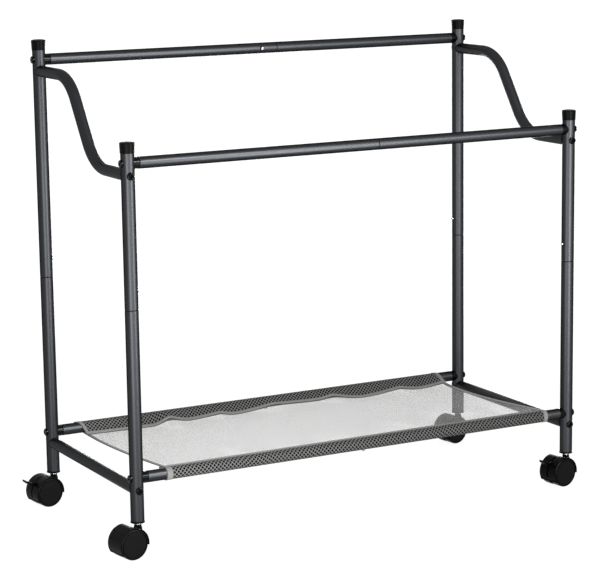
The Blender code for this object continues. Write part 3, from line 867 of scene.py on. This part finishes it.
def caster_socket():
    """The moulded socket in a post's foot, with a flange under the tube, foot at Z = 0."""
    flange_r, plug_r, bore_r = POST_R + 0.0007, POST_R - 0.0015, 0.0043
    plug_length, bore_depth = 0.038, 0.037
    low, high = -0.0023, -0.0003
    obj = cylinder("socket", flange_r, low, high)
    edit(obj)
    pick(obj, "FACE", at_end(high))
    bpy.ops.mesh.inset(thickness=flange_r - plug_r, depth=0)
    bpy.ops.mesh.extrude_region_move(TRANSFORM_OT_translate={"value": (0, 0, plug_length)})
    pick(obj, "FACE", at_end(low))
    bpy.ops.mesh.inset(thickness=flange_r - bore_r, depth=0)
    bpy.ops.mesh.inset(thickness=HAIRLINE, depth=-bore_depth)
    done(obj)
    return soften(obj, SMALL_ROUND, 2, 50)


def stem_collar():
    """The bright steel collar and pin between the socket and the hood, about the stem."""
    collar_r, pin_r, pin_length = 0.0054, 0.004, 0.036
    low, high = NECK_TOP - 0.0001, NECK_TOP + 0.0014
    obj = cylinder("stem_collar", collar_r, low, high, NECK_SIDES)
    edit(obj)
    pick(obj, "FACE", at_end(high))
    bpy.ops.mesh.inset(thickness=collar_r - pin_r, depth=0)
    bpy.ops.mesh.extrude_region_move(TRANSFORM_OT_translate={"value": (0, 0, pin_length)})
    done(obj)
    soften(obj, SMALL_ROUND, 2, 50)
    return shift(obj, TRAIL, 0, 0)


def brake_lever():
    """A pedal on a thin web: the web is drawn out from the pivot, widened and curled up."""
    pivot_x, pivot_z = -0.013, 0.010
    bar_x, bar_z = -0.00303, 0.01465
    root_size = (0.005, 0.003, 0.0055)
    # Each step backwards and up, and the width and thickness that it grows by
    pedal_steps = (
        (-0.0065, 0.0045, 1, 0.9),
        (-0.0045, 0.002, 1, 0.95),
        (-0.002, 0.0008, 3.8, 1),
        (-0.0055, 0.0026, 1.1, 1.1),
        (-0.0068, 0.0046, 0.94, 0.7),
    )
    brake_steps = ((0.0075, 0.0046, 1, 0.5),)
    bpy.ops.object.select_all(action="DESELECT")
    bpy.ops.mesh.primitive_cube_add(size=1, location=(pivot_x, 0, pivot_z))
    obj = bpy.context.active_object
    obj.scale = root_size
    bpy.ops.object.transform_apply(location=True, rotation=True, scale=True)
    edit(obj)
    for way, steps in ((-1, pedal_steps), (1, brake_steps)):
        pick(obj, "FACE", lambda face: way * face.normal.x > 0.9)
        for back, up, wider, thicker in steps:
            bpy.ops.mesh.extrude_region_move(TRANSFORM_OT_translate={"value": (back, 0, up)})
            bpy.ops.transform.resize(value=(1, wider, thicker))
    done(obj)
    soften(obj, EDGE_ROUND, 3, 30)
    for name, radius, half, x, z in (
        ("trunnion", 0.0016, 0.0032, pivot_x, pivot_z),
        ("brake_bar", 0.0017, 0.009, bar_x, bar_z),
    ):
        pin = turn(cylinder(name, radius, -half, half, PIN_SIDES), math.pi / 2, "X")
        combine(obj, shift(pin, x, 0, z), "UNION")
    return smooth(obj, 35)


hoods = {True: caster_hood(True), False: caster_hood(False)}
wheel = caster_wheel()
socket = caster_socket()
collar = stem_collar()
lever = brake_lever()
for corner in CORNERS:
    joint = JOINTS["spin_" + corner + "_1"]
    axle = Vector(joint["pos_m"])
    yaw = math.atan2(-joint["axis"][0], joint["axis"][1])
    matrix = Matrix.Translation(axle) @ rotation(yaw, "Z")
    body = "caster_" + corner
    made = copy_of(hoods[corner in BRAKED], corner + "_hood", matrix)
    give(made, body, NYLON, "black_plastic", "caster_hood_" + corner)
    made = copy_of(collar, corner + "_stem", matrix)
    give(made, body, STEEL, "chrome")
    x, y = POST_AT[corner].xy
    made = copy_of(socket, corner + "_stem_socket", translation(x, y, FOOT_Z))
    give(made, "frame", NYLON, "black_plastic", "caster_socket_" + corner)
    for number, spin in ((1, math.pi), (2, 0)):
        made = copy_of(wheel, "%s_roller_%d" % (corner, number), matrix @ rotation(spin, "Z"))
        node = "wheel_%s_%d" % (corner, number)
        give(made, node, WHEEL_NYLON, "wheel_plastic", node)
    if corner in BRAKED:
        made = copy_of(lever, corner + "_brake_pedal", matrix)
        give(made, "brake_" + corner, NYLON, "black_plastic", "brake_lever_" + corner)
for pattern in (*hoods.values(), wheel, socket, collar, lever):
    bpy.data.objects.remove(pattern)


# Sling shelf: one strip of mesh round both bottom rails, hemmed and bound with tape

CLOTH_X = 0.732
CLOTH_THICK = 0.0005
SLEEVE_SHIFT, HEM_SHIFT, FRONT_SHIFT = -0.005, 0.010, 0.002
HEM_REACH, HEM_DROP = 0.0175, 0.0115
HEM_LEAN = 0.35
HEM_PINCH = 0.85
FRONT_HEM = (0.022, -0.006)
HEM_STEP = 0.0012
LEFT_TAPE_WIDTH, RIGHT_TAPE_WIDTH, HEM_WIDTH = 0.006, 0.0078, 0.0055
LEFT_BAND_WIDTH, RIGHT_BAND_WIDTH = 0.0112, 0.0088
TAPE_THICK, TAPE_LIP = 0.0012, 0.0006
SAG = 0.003
SWAG_FADE = 7
SPANS, SPAN_EASE = 40, 1.5
FLAP_STEPS, WRAP_STEPS = 6, 24
COLUMNS = 160
SLEEVE_R = RAIL_R + CLOTH_THICK
SHELF_Z = RAIL_Z["rear_bottom"]

# Where the rear hem is drawn up and where it hangs, in mm along the rail and up from its lowest
SCALLOPS = (
    (-380, 3),
    (-300, 1),
    (-231, 0),
    (-197, 10),
    (-159, 2),
    (-98, 6),
    (-69, 1),
    (8, 8),
    (101, 5),
    (133, 9),
    (196, -1),
    (276, 6),
    (320, 0),
    (380, 6),
)


def hem_lift(x):
    """The hem's height above its lowest: it hangs in swags and is pinched where it is drawn up."""
    for (x0, up0), (x1, up1) in zip(SCALLOPS, SCALLOPS[1:]):
        if x <= x1 / 1000:
            t = (x - x0 / 1000) / ((x1 - x0) / 1000)
            t = t if up1 > up0 else 1 - t
            low, high = sorted((up0, up1))
            return (low + (high - low) * (1 - math.cos(t * math.pi / 2)) ** HEM_PINCH) / 1000
    return SCALLOPS[-1][1] / 1000


def sleeve(hem, end=1.5 * math.pi):
    """The strip round one rail, from its hem over the top and under, as (inward, up) points."""
    start = math.atan2(hem[1], hem[0]) + math.acos(SLEEVE_R / math.hypot(*hem))
    turns = [start + (end - start) * i / WRAP_STEPS for i in range(WRAP_STEPS + 1)]
    wrap = [Vector((SLEEVE_R * math.cos(a), SLEEVE_R * math.sin(a))) for a in turns]
    flap = [Vector(hem).lerp(wrap[0], i / FLAP_STEPS) for i in range(FLAP_STEPS)]
    return flap + wrap


def cloth_row(u):
    """The strip's path at one place along the rails, from the rear hem to the front hem."""
    x = u * CLOTH_X
    lift = hem_lift(x + HEM_SHIFT)
    hem = (HEM_REACH - HEM_LEAN * lift, -HEM_DROP + lift)
    low = hem[1] - HEM_STEP
    end = math.tau + math.atan2(low, hem[0]) - math.acos(SLEEVE_R / math.hypot(hem[0], low))
    rear = sleeve(hem, end)
    front = sleeve(FRONT_HEM)
    row = []
    for n, (inward, up) in enumerate(rear):
        share = abs(2 * n / (len(rear) - 1) - 1)
        move = SLEEVE_SHIFT + (HEM_SHIFT - SLEEVE_SHIFT) * share
        row.append(Vector((x + move, HALF_Y - inward, up)))
    a = Vector((x + HEM_SHIFT, HALF_Y - hem[0], -HEM_DROP - HEM_STEP))
    b = Vector((x + FRONT_SHIFT, -HALF_Y, SLEEVE_R))
    for n in range(SPANS):
        t = (n / SPANS) ** SPAN_EASE
        drawn_up = lift * (1 - t) ** SWAG_FADE
        row.append(a.lerp(b, t) + Vector((0, 0, drawn_up - 4 * SAG * t * (1 - t))))
    for inward, up in reversed(front):
        row.append(Vector((x + FRONT_SHIFT, inward - HALF_Y, -up)))
    return [point + Vector((CENTRE.x, CENTRE.y, SHELF_Z)) for point in row]


def cloth_piece(name, mesh):
    """A new object from a mesh made in code, with its faces outwards."""
    bmesh.ops.recalc_face_normals(mesh, faces=mesh.faces)
    data = bpy.data.meshes.new(name)
    mesh.to_mesh(data)
    mesh.free()
    obj = bpy.data.objects.new(name, data)
    bpy.context.scene.collection.objects.link(obj)
    return obj


def strip(name, rows):
    """A surface through rows of points, with a UV map in metres along and across it."""
    mesh = bmesh.new()
    layer = mesh.loops.layers.uv.new("weave")
    grid = [[mesh.verts.new(point) for point in row] for row in rows]
    lengths = []
    for row in rows:
        run = [0]
        for p, q in zip(row, row[1:]):
            run.append(run[-1] + (q - p).length)
        lengths.append(run)
    for i in range(len(rows) - 1):
        for j in range(len(rows[0]) - 1):
            face = mesh.faces.new((grid[i][j], grid[i][j + 1], grid[i + 1][j + 1], grid[i + 1][j]))
            spots = ((i, j), (i, j + 1), (i + 1, j + 1), (i + 1, j))
            for loop, (m, n) in zip(face.loops, spots):
                loop[layer].uv = (rows[m][n].x, lengths[m][n])
            face.smooth = True
    return cloth_piece(name, mesh)


rows = [cloth_row(i / COLUMNS - 0.5) for i in range(COLUMNS + 1)]
cloth = strip("shelf_mesh", rows)
only(cloth)
thick = cloth.modifiers.new("thickness", "SOLIDIFY")
thick.thickness = CLOTH_THICK
thick.offset = 0
bpy.ops.object.modifier_apply(modifier=thick.name)
give(cloth, "frame", CLOTH, "mesh_cloth", "mesh_shelf")


def ribbon(name, path, across, width):
    """A folded tape along a path: across gives its width direction at each point."""
    mesh = bmesh.new()
    layer = mesh.loops.layers.uv.new("weave")
    # The tape's section, in shares of its width and thickness, fuller by the fold
    outline = ((0, -0.5), (0, 0.5), (0.15, 0.8), (1, 0.5), (1, -0.5), (0.15, -0.8))
    loops = []
    run = 0
    for n, point in enumerate(path):
        before = path[max(n - 1, 0)]
        after = path[min(n + 1, len(path) - 1)]
        if n:
            run += (point - before).length
        along = (after - before).normalized()
        side = (across[n] - along * across[n].dot(along)).normalized()
        normal = along.cross(side) * TAPE_THICK
        verts = [
            mesh.verts.new(point + side * (TAPE_LIP - s * width) + normal * t) for s, t in outline
        ]
        loops.append((verts, run))
    count = len(outline)
    for (first, run_a), (second, run_b) in zip(loops, loops[1:]):
        for k in range(count):
            m = (k + 1) % count
            face = mesh.faces.new((first[k], first[m], second[m], second[k]))
            for loop, (c, r) in zip(face.loops, ((k, run_a), (m, run_a), (m, run_b), (k, run_b))):
                loop[layer].uv = (outline[c][0], r)
            face.smooth = True
    mesh.faces.new(loops[0][0])
    mesh.faces.new(list(reversed(loops[-1][0])))
    return smooth(cloth_piece(name, mesh), 50)


tapes = []
front_at = len(rows[0]) - len(sleeve(FRONT_HEM))
# The right band takes the lighter copy of the tape, painted light; the left band, which its lamp
# lights more, keeps the plain tape
for end, u, side, width, band, weave in (
    ("left", 0, -1, LEFT_TAPE_WIDTH, LEFT_BAND_WIDTH, TAPE),
    ("right", COLUMNS, 1, RIGHT_TAPE_WIDTH, RIGHT_BAND_WIDTH, PAINTED_LIGHT_BAND),
):
    across = Vector((side, 0, 0))
    tape = ribbon("edge_tape_" + end, rows[u][: front_at + 1], [across] * (front_at + 1), width)
    give(tape, "frame", TAPE, "mesh_cloth")
    path = rows[u][front_at:]
    end_band = ribbon("end_band_" + end, path, [across] * len(path), band)
    give(end_band, "frame", weave, "mesh_cloth")
    tapes += [tape, end_band]
for name, column, way in (("rear", 0, 1), ("front", -1, -2)):
    path = [row[column] for row in rows]
    across = [row[column] - row[way] for row in rows]
    tape = ribbon("hem_tape_" + name, path, across, HEM_WIDTH)
    give(tape, "frame", TAPE, "mesh_cloth")
    tapes.append(tape)


# Studio: a white floor, soft lamps and the photograph's camera

FLOOR_R, FLOOR_SIDES = 40, 96
# The floor glows a little less near the rack, where its shadow lies
GLOW_FROM, GLOW_FULL = 0.8, 1.8
NEAR_GLOW = 0.92
SKY_LIGHT = 0.45
LAMP_AIM = Vector((0, 0, 0.4))


def seen_rays(tree):
    """1 for rays from the eye, reflections and clear pieces; 0 for those that light the rack."""
    paths = add(tree, "ShaderNodeLightPath")
    seen = add(
        tree,
        "ShaderNodeMath",
        {0: paths.outputs["Is Camera Ray"], 1: paths.outputs["Is Glossy Ray"]},
        operation="MAXIMUM",
    )
    seen = add(
        tree,
        "ShaderNodeMath",
        {0: seen.outputs[0], 1: paths.outputs["Is Transmission Ray"]},
        operation="MAXIMUM",
    )
    return seen.outputs[0]


def floor_finish():
    """Matt white floor that the eye and reflections see as white, and that keeps the shadow."""
    made = bpy.data.materials.new("white_floor")
    made.use_nodes = True
    tree = made.node_tree
    tree.nodes.clear()
    plain = add(tree, "ShaderNodeBsdfDiffuse", {"Color": linear("#f4f4f4")})
    pale = add(tree, "ShaderNodeBsdfDiffuse", {"Color": linear("#8c8c8c")})
    where = add(tree, "ShaderNodeTexCoord").outputs["Object"]
    reach = add(tree, "ShaderNodeVectorMath", {0: where}, operation="LENGTH")
    fade = add(
        tree,
        "ShaderNodeMapRange",
        {
            "Value": reach.outputs["Value"],
            "From Min": GLOW_FROM,
            "From Max": GLOW_FULL,
            "To Min": NEAR_GLOW,
            "To Max": 1,
        },
    )
    glow = add(
        tree,
        "ShaderNodeEmission",
        {"Color": linear("#ffffff"), "Strength": fade.outputs["Result"]},
    )
    white = add(tree, "ShaderNodeAddShader", {0: pale.outputs[0], 1: glow.outputs[0]})
    mix = add(
        tree,
        "ShaderNodeMixShader",
        {0: seen_rays(tree), 1: plain.outputs[0], 2: white.outputs[0]},
    )
    add(tree, "ShaderNodeOutputMaterial", {"Surface": mix.outputs[0]})
    made.cycles.emission_sampling = "NONE"
    return made


bpy.ops.object.select_all(action="DESELECT")
bpy.ops.mesh.primitive_circle_add(
    vertices=FLOOR_SIDES, radius=FLOOR_R, fill_type="NGON", location=(0, 0, 0)
)
floor = bpy.context.active_object
floor.name = "studio_floor"
floor.data.materials.append(floor_finish())

world = bpy.data.worlds.new("studio")
bpy.context.scene.world = world
world.use_nodes = True
tree = world.node_tree
tree.nodes.clear()
level = add(
    tree,
    "ShaderNodeMapRange",
    {"Value": seen_rays(tree), "To Min": SKY_LIGHT, "To Max": 1},
)
sky = add(
    tree,
    "ShaderNodeBackground",
    {"Color": linear("#ffffff"), "Strength": level.outputs["Result"]},
)
add(tree, "ShaderNodeOutputWorld", {"Surface": sky.outputs[0]})
world.cycles.sampling_method = "NONE"


def softbox(name, place, size, power, diffuse):
    """A rectangular lamp that faces the rack's middle; without diffuse it only gleams on gloss."""
    data = bpy.data.lights.new(name, "AREA")
    data.shape = "RECTANGLE"
    data.size, data.size_y = size
    data.energy = power
    lamp = bpy.data.objects.new(name, data)
    bpy.context.scene.collection.objects.link(lamp)
    lamp.location = place
    back = Vector(place) - LAMP_AIM
    lamp.rotation_euler = back.to_track_quat("Z", "Y").to_euler()
    lamp.visible_diffuse = diffuse
    lamp.visible_camera = False


softbox("left_softbox", (-0.91, -0.98, 0.36), (0.42, 0.72), 13.5, True)
softbox("middle_strip", (-0.38, -1.4, 0.36), (0.5, 0.72), 7, False)
softbox("front_strip", (0.43, -1.26, 0.36), (0.42, 0.72), 21, False)
softbox("high_strip", (0.35, -1.6, 1.4), (0.3, 0.3), 34, False)
softbox("right_strip", (1.1, -1.9, 0.95), (0.5, 0.5), 20, False)
softbox("rear_strip", (0.55, 1.45, 0.36), (0.5, 0.72), 21, False)
softbox("side_strip", (1.4, 0.95, 0.36), (0.4, 0.72), 17, False)

# The photograph's viewpoint, in degrees and metres, with the lens and sensor in millimetres
CAMERA_AZIMUTH, CAMERA_ELEVATION, CAMERA_ROLL = -28.35, 10.537, -0.7998
CAMERA_DISTANCE = 3.7216
CAMERA_LENS, CAMERA_SENSOR = 129.93, 36
CAMERA_TARGET = Vector((CENTRE.x - 0.019907, CENTRE.y, FOOT_Z + 0.303))
camera = bpy.data.objects.new("camera", bpy.data.cameras.new("camera"))
bpy.context.scene.collection.objects.link(camera)
a, e = math.radians(CAMERA_AZIMUTH), math.radians(CAMERA_ELEVATION)
back = Vector((math.sin(a) * math.cos(e), -math.cos(a) * math.cos(e), math.sin(e)))
camera.location = CAMERA_TARGET + back * CAMERA_DISTANCE
aim = back.to_track_quat("Z", "Y").to_matrix()
camera.rotation_euler = (aim @ Matrix.Rotation(math.radians(CAMERA_ROLL), 3, "Z")).to_euler()
camera.data.lens = CAMERA_LENS
camera.data.sensor_width = CAMERA_SENSOR
camera.data.clip_start, camera.data.clip_end = 0.05, 200
bpy.context.scene.camera = camera
bpy.context.scene.view_settings.view_transform = "Standard"
